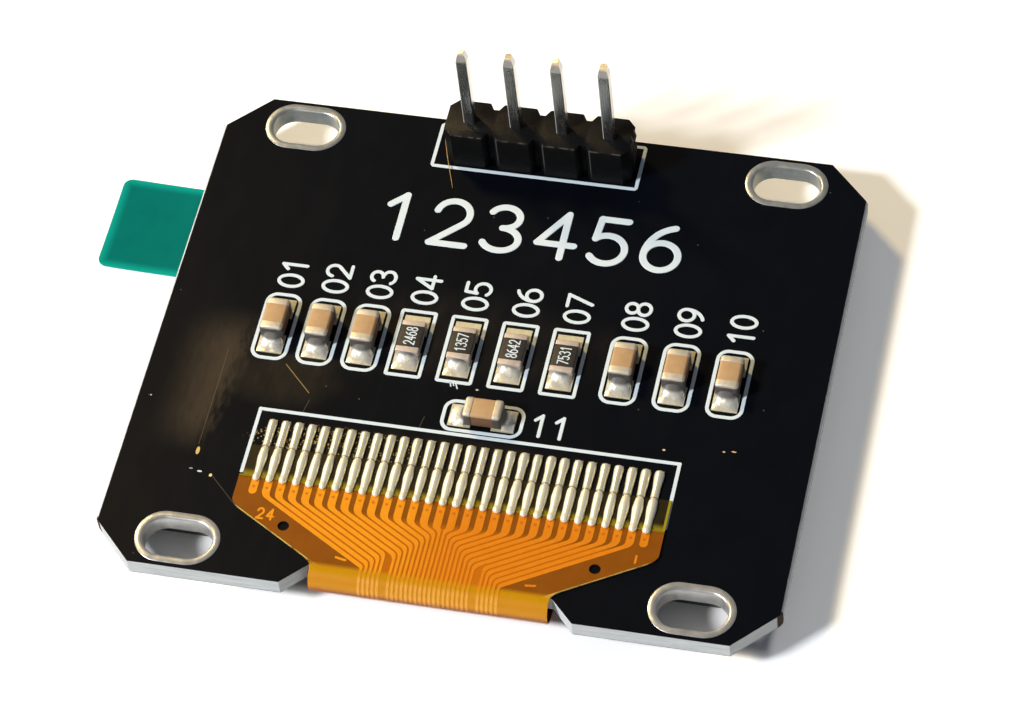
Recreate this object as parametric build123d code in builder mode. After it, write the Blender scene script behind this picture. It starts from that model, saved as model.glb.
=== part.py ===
from build123d import *
import os
from math import cos, radians, sin, tan

# Small OLED module lying on its display, component side up: a black circuit board with a display
# panel taped under it, a flex circuit folded round the board's front edge, and a four-pin header.
# Millimetres. +X runs along the header, +Y towards it, +Z up. The origin is on the outer face of the
# display's protective film, under the middle of the board, so the module rests on Z = 0.

# Circuit board, four plated mounting slots and a notch for the flex
board_width = 35.4
board_depth = 30.5
board_thick = 1.0
corner_cut = 2.25
score_bevel = 0.12
slot_inset_x = 4.45
slot_inset_y = 1.72
slot_length = 3.6
slot_width = 2.2
land_width = 0.42
plating_thick = 0.05
notch_depth = 1.25
notch_clearance = 0.12
notch_flare = 45

# Display panel with its protective film and pull tab
film_thick = 0.08
film_margin_x = 0.85
film_margin_y = 0.7
polarizer_thick = 0.2
polarizer_inset_x = 1.0
polarizer_inset_y = 0.8
front_glass_thick = 0.5
panel_inset_x = 0.45
panel_back_inset = 4.1
panel_setback = 2.15
rear_glass_thick = 0.5
ledge_depth = 4.6
tape_thick = 0.15
tape_inset = 1.2
chip_length = 12.0
chip_width = 1.0
chip_thick = 0.28
chip_gap = 0.8
tab_width = 6.0
tab_reach = 5.2
tab_thick = 0.06
tab_corner = 0.5
tab_inset = 3.95
tab_clearance = 0.15

# Pin header
pin_count = 4
pin_pitch = 2.54
pin_width = 0.64
pin_height = 8.35
pin_tail = 1.1
tip_width = 0.34
tip_taper = 0.7
header_inset = 1.79
housing_width = 2.5
housing_height = 2.54
housing_corner = 0.45
waist_mouth = 0.74
waist_depth = 0.4
waist_angle = 60
pin_hole_radius = 0.5
joint_radius = 0.85
joint_tip_radius = 0.48
joint_height = 0.75
joint_ring = 0.05
joint_sides = 10

# Chip capacitors and chip resistors, their pads and their solder
pad_thick = 0.04
pad_width = 1.36
pad_length = 1.2
pad_span = 3.5
reflow_shift = 0.1
cap_length = 2.0
cap_width = 1.25
cap_height = 1.05
cap_terminal = 0.45
cap_edge = 0.12
cup_wall = 0.07
cup_end = 0.1
res_length = 2.0
res_width = 1.25
res_height = 0.5
res_terminal = 0.32
wrap_thick = 0.04
overcoat_inset = 0.05
overcoat_thick = 0.05
solder_width = 1.34
solder_inset = 0.03
solder_toe = 0.03
cap_solder_rise = 0.42
res_solder_rise = 0.3
solder_hollow = 0.3
row_rise = 5.878
left_caps_x = -9.1
left_caps_pitch = 2.42
resistors_x = -0.15
resistors_pitch = 2.73
right_caps_x = 9.84
right_caps_pitch = 2.79
lone_cap_x = 0.51
lone_cap_rise = 1.768

# White legend lines printed on the board
legend_thick = 0.02
legend_line = 0.2
cap_frame_width = 2.0
res_frame_width = 1.99
frame_length = 4.34
frame_corner = 0.42
header_frame_width = 11.4
header_frame_depth = 3.06
header_frame_shift = -0.23
flex_frame_margin = 0.065
flex_frame_rise = 0.7
flex_frame_length = 4.16

# Flex circuit: contacts soldered to the board, a fan of traces, a neck bent round the notch
contact_count = 30
contact_pitch = 0.7
finger_width = 0.42
contact_reach = 1.65
contact_gap = 0.06
bare_finger = 1.9
finger_tail = 1.08
finger_step = 0.04
fan_angle = 30
fan_width = 0.22
fan_rise = 0.1
neck_line = 0.14
neck_pitch = 0.24
neck_first = 0.12
neck_group = 9
neck_group_gap = 0.3
neck_width = 12.3
neck_rise = 0.15
flex_margin = 0.91
flex_corner = 0.4
flex_thick = 0.06
trace_thick = 0.03
coverlay_thick = 0.04
bead_width = 0.4
bead_crown = 0.22
bead_height = 0.15
hole_radius = 0.3
hole_sides = 12
hole_inset = 1.9
hole_rise = 0.75
bend_clearance = 0.02
bend_steps = 6
bond_length = 1.4
bond_thick = 0.02
bond_inset = 0.1
coverlay_stop = 0.3

# Heights of the stack
front_glass_bottom = film_thick + polarizer_thick
ledge_top = front_glass_bottom + front_glass_thick
rear_glass_top = ledge_top + rear_glass_thick
board_bottom = rear_glass_top + tape_thick
board_top = board_bottom + board_thick
pad_top = board_top + pad_thick
flex_bottom = board_top + legend_thick
trace_bottom = flex_bottom + flex_thick
trace_top = trace_bottom + trace_thick

# Places that several pieces share
slot_pitch_x = board_width - 2 * slot_inset_x
slot_pitch_y = board_depth - 2 * slot_inset_y
header_y = board_depth / 2 - header_inset
header_length = pin_count * pin_pitch
notch_y = -board_depth / 2 + notch_depth
notch_width = neck_width + 2 * notch_clearance
panel_width = board_width - 2 * panel_inset_x
panel_front = notch_y + panel_setback
panel_back = board_depth / 2 - panel_back_inset
panel_depth = panel_back - panel_front
rear_glass_depth = panel_depth - ledge_depth
rear_glass_y = panel_back - rear_glass_depth / 2
polarizer_width = panel_width - 2 * polarizer_inset_x
polarizer_depth = rear_glass_depth - 2 * polarizer_inset_y

# The flex is laid out from the notch upwards: neck, fan of traces, fingers, contacts
fan_slope = tan(radians(fan_angle))
fan_half = fan_width / 2 / cos(radians(fan_angle))
side_count = contact_count // 2
finger_xs = [contact_pitch * (k + 0.5) for k in range(side_count)]
neck_xs = [
    neck_first + neck_pitch * k + (neck_group_gap if k >= neck_group else 0)
    for k in range(side_count - 1)
]
flex_half = finger_xs[-1] + flex_margin
neck_y = notch_y + neck_rise
shoulder_y = neck_y + (flex_half - neck_width / 2) * fan_slope
finger_bottom = neck_y + fan_rise + (finger_xs[-2] - neck_xs[-1]) * fan_slope
coverlay_edge = finger_bottom + finger_tail
flex_edge = coverlay_edge + bare_finger
contact_bottom = flex_edge + contact_gap
contact_top = contact_bottom + contact_reach
row_y = contact_top + row_rise
lone_cap_y = contact_top + lone_cap_rise
flex_frame_width = 2 * (flex_half + flex_frame_margin)
hole_x = neck_width / 2 + hole_inset
hole_y = neck_y + hole_inset * fan_slope + hole_rise

# The bend is a half turn from the board's top down to the ledge of the display glass
bend_y = notch_y - bend_clearance
bend_inner = (flex_bottom - ledge_top - bond_thick - trace_thick - flex_thick) / 2
bend_z = flex_bottom - bend_inner
bond_end = panel_front + bond_length

ON_FLOOR = (Align.CENTER, Align.CENTER, Align.MIN)
os.makedirs("parts", exist_ok=True)


def save(piece, name):
    """Label a finished piece and write its STEP file."""
    piece.part.label = name
    export_step(piece.part, f"parts/{name}.step")


# Circuit board: routed outline with cut corners, drilled for slots and pins, scored left and right
with BuildPart() as circuit_board:
    with BuildSketch(Plane.XY.offset(board_bottom)) as outline:
        Rectangle(board_width, board_depth)
        chamfer(outline.vertices(), length=corner_cut)
        with Locations((0, notch_y - notch_depth / 2)):
            Trapezoid(notch_width + 2 * notch_depth / tan(radians(notch_flare)), notch_depth, notch_flare,
                      mode=Mode.SUBTRACT)
        with GridLocations(slot_pitch_x, slot_pitch_y, 2, 2):
            SlotOverall(slot_length + 2 * plating_thick, slot_width + 2 * plating_thick, mode=Mode.SUBTRACT)
        with Locations((0, header_y)):
            with GridLocations(pin_pitch, 0, pin_count, 1):
                Circle(pin_hole_radius, mode=Mode.SUBTRACT)
    extrude(amount=board_thick)
    scored_sides = circuit_board.faces().filter_by(Axis.X).sort_by(Axis.X)
    scored_edges = scored_sides[0].edges() + scored_sides[-1].edges()
    chamfer(scored_edges.filter_by(Axis.Y), length=score_bevel)
save(circuit_board, "circuit_board")

# Plated slots: a barrel through the board with a land on each face
with BuildPart() as slot_plating:
    with BuildSketch(Plane.XY.offset(board_bottom - plating_thick)):
        with GridLocations(slot_pitch_x, slot_pitch_y, 2, 2):
            SlotOverall(slot_length + 2 * plating_thick, slot_width + 2 * plating_thick)
            SlotOverall(slot_length, slot_width, mode=Mode.SUBTRACT)
    extrude(amount=board_thick + 2 * plating_thick)
    with BuildSketch(Plane.XY.offset(board_bottom - plating_thick), Plane.XY.offset(board_top)):
        with GridLocations(slot_pitch_x, slot_pitch_y, 2, 2):
            SlotOverall(slot_length + 2 * land_width, slot_width + 2 * land_width)
            SlotOverall(slot_length, slot_width, mode=Mode.SUBTRACT)
    extrude(amount=plating_thick)
save(slot_plating, "slot_plating")

# Header housing: a moulded strip with a waist between each two pins
with BuildPart() as header_housing:
    with BuildSketch(Plane.XY.offset(board_top)) as strip:
        with Locations((0, header_y)):
            Rectangle(header_length, housing_width)
        chamfer(strip.vertices(), length=housing_corner)
        for side, turn in ((-1, 0), (1, 180)):
            with Locations((0, header_y + side * (housing_width - waist_depth) / 2)):
                with GridLocations(pin_pitch, 0, pin_count - 1, 1):
                    Trapezoid(waist_mouth, waist_depth, waist_angle, rotation=turn, mode=Mode.SUBTRACT)
        with Locations((0, header_y)):
            with GridLocations(pin_pitch, 0, pin_count, 1):
                Rectangle(pin_width, pin_width, mode=Mode.SUBTRACT)
    extrude(amount=housing_height)
save(header_housing, "header_housing")

# Header pins: square wire with tapered ends, through the housing and the board
pin_xs = [pin_pitch * (i - (pin_count - 1) / 2) for i in range(pin_count)]
for i, pin_x in enumerate(pin_xs):
    with BuildPart() as header_pin:
        with Locations((pin_x, header_y, board_bottom - pin_tail)):
            Box(pin_width, pin_width, pin_tail + board_thick + pin_height, align=ON_FLOOR)
        for end in (header_pin.faces().sort_by(Axis.Z)[0], header_pin.faces().sort_by(Axis.Z)[-1]):
            chamfer(end.edges(), length=(pin_width - tip_width) / 2, length2=tip_taper, reference=end)
    save(header_pin, f"header_pin_{i + 1}")

# Solder of the pins: it fills each hole and tapers down the pin's tail from a ring under the board
with BuildPart() as header_joints:
    with BuildSketch(Plane.XY.offset(board_bottom)):
        with Locations(*[(x, header_y) for x in pin_xs]):
            RegularPolygon(joint_radius, joint_sides)
    extrude(amount=-joint_height)
    for foot in header_joints.faces().group_by(Axis.Z)[0]:
        chamfer(foot.edges(), length=joint_radius - joint_tip_radius, length2=joint_height - joint_ring,
                reference=foot)
    with BuildSketch(Plane.XY.offset(board_bottom)):
        with Locations(*[(x, header_y) for x in pin_xs]):
            RegularPolygon(pin_hole_radius, joint_sides)
    extrude(amount=board_thick)
    with Locations(*[(x, header_y, board_bottom) for x in pin_xs]):
        Box(pin_width, pin_width, 2 * board_thick + 2 * joint_height, mode=Mode.SUBTRACT)
save(header_joints, "header_joints")

# Where the chips stand: a plane at each middle, with its X along the chip
ALONG_Y = (0, 1, 0)
ALONG_X = (1, 0, 0)
cap_spots = [(left_caps_x + left_caps_pitch * n, row_y, ALONG_Y) for n in (-1, 0, 1)]
cap_spots += [(right_caps_x + right_caps_pitch * n, row_y, ALONG_Y) for n in (-1, 0, 1)]
cap_spots += [(lone_cap_x, lone_cap_y, ALONG_X)]
res_spots = [(resistors_x + resistors_pitch * n, row_y, ALONG_Y) for n in (-1.5, -0.5, 0.5, 1.5)]


def seat(spot, height, shift=0):
    """Plane at a chip's place, at a height, with X along the chip and the middle shifted along it."""
    x, y, direction = spot
    middle = Vector(x, y, height) + Vector(*direction) * shift
    return Plane(middle, x_dir=direction, z_dir=(0, 0, 1))


# Solder pads of the chips
with BuildPart() as chip_pads:
    with BuildSketch(*[seat(spot, board_top) for spot in cap_spots + res_spots]):
        with GridLocations(pad_span - pad_length, 0, 2, 1):
            Rectangle(pad_length, pad_width)
    extrude(amount=pad_thick)
save(chip_pads, "chip_pads")

# Chip capacitors: a ceramic block in two metal cups
for i, spot in enumerate(cap_spots):
    with BuildPart() as ceramic:
        with Locations(seat(spot, pad_top + cup_wall, reflow_shift)):
            Box(cap_length - 2 * cup_end, cap_width - 2 * cup_wall, cap_height - 2 * cup_wall, align=ON_FLOOR)
    save(ceramic, f"capacitor_{i + 1}_ceramic")
    with BuildPart() as cups:
        with Locations(seat(spot, pad_top, reflow_shift)):
            Box(cap_length, cap_width, cap_height, align=ON_FLOOR)
        chamfer(cups.edges(), length=cap_edge)
        with Locations(seat(spot, pad_top, reflow_shift)):
            Box(cap_length - 2 * cap_terminal, cap_width, cap_height, align=ON_FLOOR, mode=Mode.SUBTRACT)
        add(ceramic.part, mode=Mode.SUBTRACT)
    save(cups, f"capacitor_{i + 1}_terminals")

# Chip resistors: an alumina slab, a metal wrap at each end and a dark overcoat between them
for i, spot in enumerate(res_spots):
    with BuildPart() as slab:
        with Locations(seat(spot, pad_top + wrap_thick, reflow_shift)):
            Box(res_length - 2 * wrap_thick, res_width, res_height - 2 * wrap_thick, align=ON_FLOOR)
    save(slab, f"resistor_{i + 1}_slab")
    with BuildPart() as wraps:
        with Locations(seat(spot, pad_top, reflow_shift)):
            Box(res_length, res_width, res_height, align=ON_FLOOR)
            Box(res_length - 2 * res_terminal, res_width, res_height, align=ON_FLOOR, mode=Mode.SUBTRACT)
        add(slab.part, mode=Mode.SUBTRACT)
    save(wraps, f"resistor_{i + 1}_terminals")
    with BuildPart() as overcoat:
        with Locations(seat(spot, pad_top + res_height - wrap_thick, reflow_shift)):
            Box(res_length - 2 * res_terminal, res_width - 2 * overcoat_inset, overcoat_thick, align=ON_FLOOR)
    save(overcoat, f"resistor_{i + 1}_overcoat")


def solder_profile(chip_half, side, rise):
    """Face of one fillet: up the chip's end and down a hollow slope to the edge of its pad."""
    end = side * chip_half + reflow_shift
    edge = side * (pad_span / 2 - solder_inset)
    with BuildSketch(Plane.XZ) as profile:
        with BuildLine():
            hollow = (end + (edge - end) * solder_hollow, rise * solder_hollow)
            Polyline((end, rise), (end, 0), (edge, 0), (edge, solder_toe), hollow, close=True)
        make_face()
    return profile.sketch


# Solder fillets between the chips' ends and their pads
with BuildPart() as chip_solder:
    chips = [(spot, cap_length / 2, cap_solder_rise) for spot in cap_spots]
    chips += [(spot, res_length / 2, res_solder_rise) for spot in res_spots]
    for spot, chip_half, rise in chips:
        for side in (-1, 1):
            profile = seat(spot, pad_top) * solder_profile(chip_half, side, rise)
            extrude(profile, amount=solder_width / 2, both=True)
save(chip_solder, "chip_solder")


def legend_frame(width, length, corner):
    """Closed printed frame round a part, with cut corners."""
    with BuildSketch(mode=Mode.PRIVATE) as frame:
        Rectangle(length, width)
        if corner:
            chamfer(frame.vertices(), length=corner)
        offset(amount=-legend_line, kind=Kind.INTERSECTION, mode=Mode.SUBTRACT)
    return frame.sketch


# Legend: printed frames round the header, the chips and the flex contacts
with BuildPart() as legend_frames:
    with BuildSketch(Plane.XY.offset(board_top)):
        for spot in cap_spots:
            add(seat(spot, 0) * legend_frame(cap_frame_width, frame_length, frame_corner))
        for spot in res_spots:
            add(seat(spot, 0) * legend_frame(res_frame_width, frame_length, 0))
        with Locations((header_frame_shift, header_y)):
            add(legend_frame(header_frame_depth, header_frame_width, 0))
        flex_frame_top = contact_top + flex_frame_rise
        with Locations((0, flex_frame_top - legend_line / 2)):
            Rectangle(flex_frame_width, legend_line)
        with Locations((0, flex_frame_top - flex_frame_length / 2)):
            with GridLocations(flex_frame_width - legend_line, 0, 2, 1):
                Rectangle(legend_line, flex_frame_length)
    extrude(amount=legend_thick)
save(legend_frames, "legend_frames")

# Contact pads on the board, in line with the fingers of the flex
contact_xs = [-x for x in finger_xs] + finger_xs
with BuildPart() as contact_pads:
    with BuildSketch(Plane.XY.offset(board_top)):
        with Locations(*[(x, contact_bottom + contact_reach / 2) for x in contact_xs]):
            Rectangle(finger_width, contact_reach)
    extrude(amount=pad_thick)
save(contact_pads, "contact_pads")


def flex_outline(top):
    """Plan of the flex on the board below a top edge: shoulders that slant in to the neck."""
    with BuildSketch(mode=Mode.PRIVATE) as plan:
        with BuildLine():
            Polyline((-flex_half, top), (-flex_half, shoulder_y), (-neck_width / 2, neck_y),
                     (-neck_width / 2, bend_y), (neck_width / 2, bend_y), (neck_width / 2, neck_y),
                     (flex_half, shoulder_y), (flex_half, top), close=True)
        make_face()
        shoulders = [v for v in plan.vertices() if abs(v.Y - shoulder_y) < flex_corner / 100]
        fillet(shoulders, radius=flex_corner)
        with GridLocations(2 * hole_x, 0, 2, 1):
            with Locations((0, hole_y)):
                RegularPolygon(hole_radius, hole_sides, mode=Mode.SUBTRACT)
    return plan.sketch


def bend_line(radius):
    """Points of the bend at a radius, from the board's top round to the ledge of the glass."""
    turns = [radians(180 * n / bend_steps) for n in range(bend_steps + 1)]
    return [(bend_y - radius * sin(turn), bend_z + radius * cos(turn)) for turn in turns]


def bend_profile(inner, thick, end):
    """Section of a layer round the bend: a half turn, then a straight run back under the board."""
    outer = inner + thick
    with BuildSketch(Plane.YZ, mode=Mode.PRIVATE) as section:
        with BuildLine():
            Polyline(*bend_line(outer), (end, bend_z - outer), (end, bend_z - inner),
                     *reversed(bend_line(inner)), close=True)
        make_face()
    return section.sketch


# Flex base film: flat on the board, round the bend and back to the ledge of the glass
with BuildPart() as flex_film:
    extrude(Plane.XY.offset(flex_bottom) * flex_outline(flex_edge), amount=flex_thick)
    extrude(bend_profile(bend_inner, flex_thick, bond_end), amount=neck_width / 2, both=True)
save(flex_film, "flex_film")


def trace_outline(side, finger_x, neck_x, bottom):
    """Plan of one trace: a finger, a slanted run towards the middle and a line down the neck."""
    middle = [
        (finger_x - finger_width / 2, flex_edge),
        (finger_x + finger_width / 2, flex_edge),
        (finger_x + finger_width / 2, bottom + finger_width / 2 * fan_slope - fan_half),
        (neck_x + neck_line / 2, bottom - (finger_x - neck_x - neck_line / 2) * fan_slope - fan_half),
        (neck_x + neck_line / 2, bend_y),
        (neck_x - neck_line / 2, bend_y),
        (neck_x - neck_line / 2, bottom - (finger_x - neck_x + neck_line / 2) * fan_slope + fan_half),
        (finger_x - finger_width / 2, bottom - finger_width / 2 * fan_slope + fan_half),
    ]
    return [(side * x, y) for x, y in middle]


# Flex traces: fingers that fan in to the neck, and at each side a last finger that ends as a stub
with BuildPart() as flex_traces:
    with BuildSketch(Plane.XY.offset(trace_bottom)):
        for side in (-1, 1):
            for k, neck_x in enumerate(neck_xs):
                bottom = finger_bottom - finger_step * (side_count - 2 - k)
                with BuildLine():
                    Polyline(*trace_outline(side, finger_xs[k], neck_x, bottom), close=True)
                make_face()
            with Locations((side * finger_xs[-1], (flex_edge + finger_bottom) / 2)):
                Rectangle(finger_width, flex_edge - finger_bottom)
    extrude(amount=trace_thick)
    run = bend_profile(bend_inner + flex_thick, trace_thick, bond_end)
    for neck_x in [-x for x in neck_xs] + neck_xs:
        extrude(Pos(neck_x, 0, 0) * run, amount=neck_line / 2, both=True)
save(flex_traces, "flex_traces")

# Coverlay over the traces, from below the bare fingers round the bend to just short of the glass
with BuildPart() as flex_coverlay:
    extrude(Plane.XY.offset(trace_top) * flex_outline(coverlay_edge), amount=coverlay_thick)
    layer_inner = bend_inner + flex_thick + trace_thick
    extrude(bend_profile(layer_inner, coverlay_thick, panel_front - coverlay_stop), amount=neck_width / 2,
            both=True)
save(flex_coverlay, "flex_coverlay")


def bead_section(height):
    """Crowned section of a solder bead that stands at a height."""
    with BuildSketch(mode=Mode.PRIVATE) as section:
        with BuildLine():
            Polyline((-bead_width / 2, height), (bead_width / 2, height), (bead_crown / 2, height + bead_height),
                     (-bead_crown / 2, height + bead_height), close=True)
        make_face()
    return section.sketch


# Solder beads that run from the contact pads over the edge of the film along the bare fingers
with BuildPart() as contact_solder:
    for height, start, length in (
        (pad_top, contact_top, contact_top - flex_edge),
        (trace_top, flex_edge, bare_finger),
    ):
        planes = [Plane((x, start, 0), x_dir=(1, 0, 0), z_dir=(0, -1, 0)) for x in contact_xs]
        with BuildSketch(*planes):
            add(bead_section(height))
        extrude(amount=length)
save(contact_solder, "contact_solder")

# Bond between the traces and the display glass
with BuildPart() as flex_bond:
    with BuildSketch(Plane.XY.offset(ledge_top)):
        with Locations((0, panel_front + bond_length / 2)):
            Rectangle(neck_width - 2 * bond_inset, bond_length - 2 * bond_inset)
    extrude(amount=bond_thick)
save(flex_bond, "flex_bond")

# Display glass: the front sheet has a bare ledge, the rear sheet closes the cell behind it
with BuildPart() as front_glass:
    with Locations((0, (panel_front + panel_back) / 2, front_glass_bottom)):
        Box(panel_width, panel_depth, front_glass_thick, align=ON_FLOOR)
save(front_glass, "front_glass")

with BuildPart() as rear_glass:
    with Locations((0, rear_glass_y, ledge_top)):
        Box(panel_width, rear_glass_depth, rear_glass_thick, align=ON_FLOOR)
save(rear_glass, "rear_glass")

# Driver chip on the ledge, between the rear glass and the flex
with BuildPart() as driver_chip:
    with Locations((0, rear_glass_y - rear_glass_depth / 2 - chip_gap - chip_width / 2, ledge_top)):
        Box(chip_length, chip_width, chip_thick, align=ON_FLOOR)
save(driver_chip, "driver_chip")

# Double-sided tape that holds the panel under the board
with BuildPart() as mounting_tape:
    with Locations((0, rear_glass_y, rear_glass_top)):
        Box(panel_width - 2 * tape_inset, rear_glass_depth - 2 * tape_inset, tape_thick, align=ON_FLOOR)
save(mounting_tape, "mounting_tape")

# Polarizer on the front of the glass, and the protective film over it
with BuildPart() as polarizer:
    with Locations((0, rear_glass_y, film_thick)):
        Box(polarizer_width, polarizer_depth, polarizer_thick, align=ON_FLOOR)
save(polarizer, "polarizer")

with BuildPart() as protective_film:
    with Locations((0, rear_glass_y, 0)):
        Box(polarizer_width + 2 * film_margin_x, polarizer_depth + 2 * film_margin_y, film_thick,
            align=ON_FLOOR)
save(protective_film, "protective_film")

# Pull tab stuck on the film's edge beside the polarizer, reaching out past the board
tab_outer = -board_width / 2 - tab_reach
tab_inner = -polarizer_width / 2 - tab_clearance
tab_y = panel_back - tab_inset
with BuildPart() as pull_tab:
    with BuildSketch(Plane.XY.offset(film_thick)) as strip:
        with Locations(((tab_outer + tab_inner) / 2, tab_y)):
            Rectangle(tab_inner - tab_outer, tab_width)
        fillet(strip.vertices().sort_by(Axis.X)[:2], radius=tab_corner)
    extrude(amount=tab_thick)
save(pull_tab, "pull_tab")
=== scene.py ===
import bmesh
import bpy
import math
import numpy as np
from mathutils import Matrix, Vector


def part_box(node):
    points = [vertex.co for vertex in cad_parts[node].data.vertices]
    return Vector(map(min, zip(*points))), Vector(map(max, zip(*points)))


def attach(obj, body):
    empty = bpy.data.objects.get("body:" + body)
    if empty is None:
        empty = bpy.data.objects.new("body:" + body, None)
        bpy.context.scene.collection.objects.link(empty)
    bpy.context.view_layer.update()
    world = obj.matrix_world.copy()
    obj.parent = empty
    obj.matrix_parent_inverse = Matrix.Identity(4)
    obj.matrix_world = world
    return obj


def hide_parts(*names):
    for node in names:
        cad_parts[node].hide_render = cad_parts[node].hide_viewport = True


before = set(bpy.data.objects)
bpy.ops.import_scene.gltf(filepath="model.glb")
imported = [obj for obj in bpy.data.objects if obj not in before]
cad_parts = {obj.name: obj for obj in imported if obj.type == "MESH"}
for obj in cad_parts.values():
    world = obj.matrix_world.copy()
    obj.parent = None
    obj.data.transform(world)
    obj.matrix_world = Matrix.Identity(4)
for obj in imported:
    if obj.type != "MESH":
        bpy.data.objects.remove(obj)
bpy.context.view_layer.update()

# Display panel: two sheets of glass with the driver chip on the bare ledge of the front one, a polarizer and
# a protective film on its face, and foam tape on its back. They are flat cut sheets that show only at their
# edges and from below, so the solids stay and get their finishes.
MM = 0.001


def tone(red, green, blue):
    """Linear colour of a tone given as 0 to 255 per channel."""
    share = np.array([red, green, blue]) / 255
    linear = np.where(share <= 0.04045, share / 12.92, ((share + 0.055) / 1.055) ** 2.4)
    return (*linear.tolist(), 1.0)


def operator(operation, reflected=False):
    """A method that adds one Math node; in a reflected one the other value comes first."""
    return lambda self, other: self.math(operation, *((other, self) if reflected else (self, other)))


class Field:
    """A number that changes over a surface: it wraps a node's output, and arithmetic on it adds Math nodes."""

    def __init__(self, finish, socket):
        self.finish = finish
        self.socket = socket

    def math(self, operation, *values):
        return self.finish.node("ShaderNodeMath", {"operation": operation}, dict(enumerate(values)))

    __add__ = __radd__ = operator("ADD")
    __sub__, __rsub__ = operator("SUBTRACT"), operator("SUBTRACT", True)
    __mul__ = __rmul__ = operator("MULTIPLY")
    __truediv__, __rtruediv__ = operator("DIVIDE"), operator("DIVIDE", True)
    __pow__ = operator("POWER")
    least, most = operator("MINIMUM"), operator("MAXIMUM")

    def __abs__(self):
        return self.math("ABSOLUTE", self)

    def fraction(self):
        return self.math("FRACT", self)

    def rise(self, low, high):
        """0 below low, 1 above high and a smooth step between; high may be the smaller one."""
        sockets = {"Value": self, "From Min": low, "From Max": high}
        return self.finish.node("ShaderNodeMapRange", {"interpolation_type": "SMOOTHSTEP"}, sockets)


class Finish:
    """A material in the making. Places are in millimetres on the piece, and heights of its relief too."""

    def __init__(self, holder, coordinates="Object", scale=1 / MM):
        self.holder = bpy.data.materials.new(holder) if isinstance(holder, str) else holder
        self.holder.use_nodes = True
        self.nodes = self.holder.node_tree.nodes
        self.links = self.holder.node_tree.links
        self.nodes.clear()
        where = {"Vector": self.node("ShaderNodeTexCoord", out=coordinates), "Scale": scale}
        self.place = self.node("ShaderNodeVectorMath", {"operation": "SCALE"}, where)
        split = {0: self.place}
        self.x, self.y, self.z = (self.node("ShaderNodeSeparateXYZ", {}, split, axis) for axis in "XYZ")

    def node(self, kind, settings=(), sockets=(), out=0):
        """Any shader node: its settings are set first, then its sockets get their values or links."""
        made = self.nodes.new(kind)
        for name, value in dict(settings).items():
            setattr(made, name, value)
        for name, value in dict(sockets).items():
            if isinstance(value, Field):
                self.links.new(value.socket, made.inputs[name])
            else:
                made.inputs[name].default_value = value
        return Field(self, made.outputs[out])

    def noise(self, scale, detail=3, stretch=(1, 1, 1)):
        """Cloudy noise, 0 to 1, with about scale lumps to the millimetre, times the stretch along each axis."""
        drawn = self.node("ShaderNodeVectorMath", {"operation": "MULTIPLY"}, {0: self.place, 1: stretch})
        return self.node("ShaderNodeTexNoise", {}, {"Vector": drawn, "Scale": scale, "Detail": detail})

    def specks(self, scale, size, share):
        """1 inside small round specks: a share of the cells of a grid of scale cells to the millimetre."""
        cells = {"Vector": self.place, "Scale": scale}
        distance = self.node("ShaderNodeTexVoronoi", {}, cells, "Distance")
        lot = self.node("ShaderNodeTexVoronoi", {}, cells, "Color")
        chosen = self.node("ShaderNodeSeparateXYZ", {}, {0: lot}, "X").rise(share, share * 0.98)
        return distance.rise(size * scale, size * scale * 0.5) * chosen

    def mix(self, amount, first, second):
        """From the first colour to the second as the amount goes from 0 to 1; three numbers are a tone."""
        first, second = (tone(*end) if np.size(end) == 3 else end for end in (first, second))
        return self.node("ShaderNodeMix", {"data_type": "RGBA"}, {0: amount, 6: first, 7: second}, 2)

    def surface(self, colour, rough, relief=None, **others):
        """The shader itself, with a relief in millimetres as bump. Its other sockets go by their names."""
        sockets = {"Base Color": colour, "Roughness": rough}
        sockets.update((name.replace("_", " "), value) for name, value in others.items())
        if relief is not None:
            sockets["Normal"] = self.node("ShaderNodeBump", {}, {"Height": relief, "Distance": MM})
        self.close(self.node("ShaderNodeBsdfPrincipled", {}, sockets))

    def close(self, shader):
        """Lead the finished shader to the output."""
        is_world = isinstance(self.holder, bpy.types.World)
        output = self.nodes.new("ShaderNodeOutputWorld" if is_world else "ShaderNodeOutputMaterial")
        self.links.new(shader.socket, output.inputs["Surface"])


def grained(name, grain, dark, light, rough, relief, **others):
    """A plain finish from one cloudy grain. Its tone goes from dark to light with the grain, its roughness
    starts at the first value and gains up to the second, and its relief is the grain or a noise of its own."""
    finish = Finish(name)
    cloud = finish.noise(*grain)
    height, *own = relief
    bumps = finish.noise(*own) if own else cloud
    finish.surface(finish.mix(cloud, dark, light), rough[0] + rough[1] * cloud, height * bumps, **others)
    return finish


def dress(finish, *names):
    """Put a finish on solids that stay as they are."""
    for name in names:
        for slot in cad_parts[name].material_slots:
            slot.material = finish.holder


def extent(name):
    """Lowest and highest corner of a solid, in millimetres."""
    low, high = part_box(name)
    return np.array(low) / MM, np.array(high) / MM


film = grained("clear_film", (0.6, 4), (196, 208, 210), (226, 234, 234), (0.08, 0.16), (0.004, 0.35, 2),
               Alpha=0.14)
dress(film, "protective_film")

polarizer = Finish("polarizer_sheet")
pixel = 0.23
column, row = ((place / pixel).fraction().rise(0.2, 0.0) for place in (polarizer.x, polarizer.y))
sheet_cloud = polarizer.noise(0.25, 3)
paler = column.most(row) * 0.5 + 0.3 * sheet_cloud
polarizer.surface(polarizer.mix(paler, (9, 9, 13), (26, 25, 34)), 0.1 + 0.12 * sheet_cloud)
dress(polarizer, "polarizer")

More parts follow.
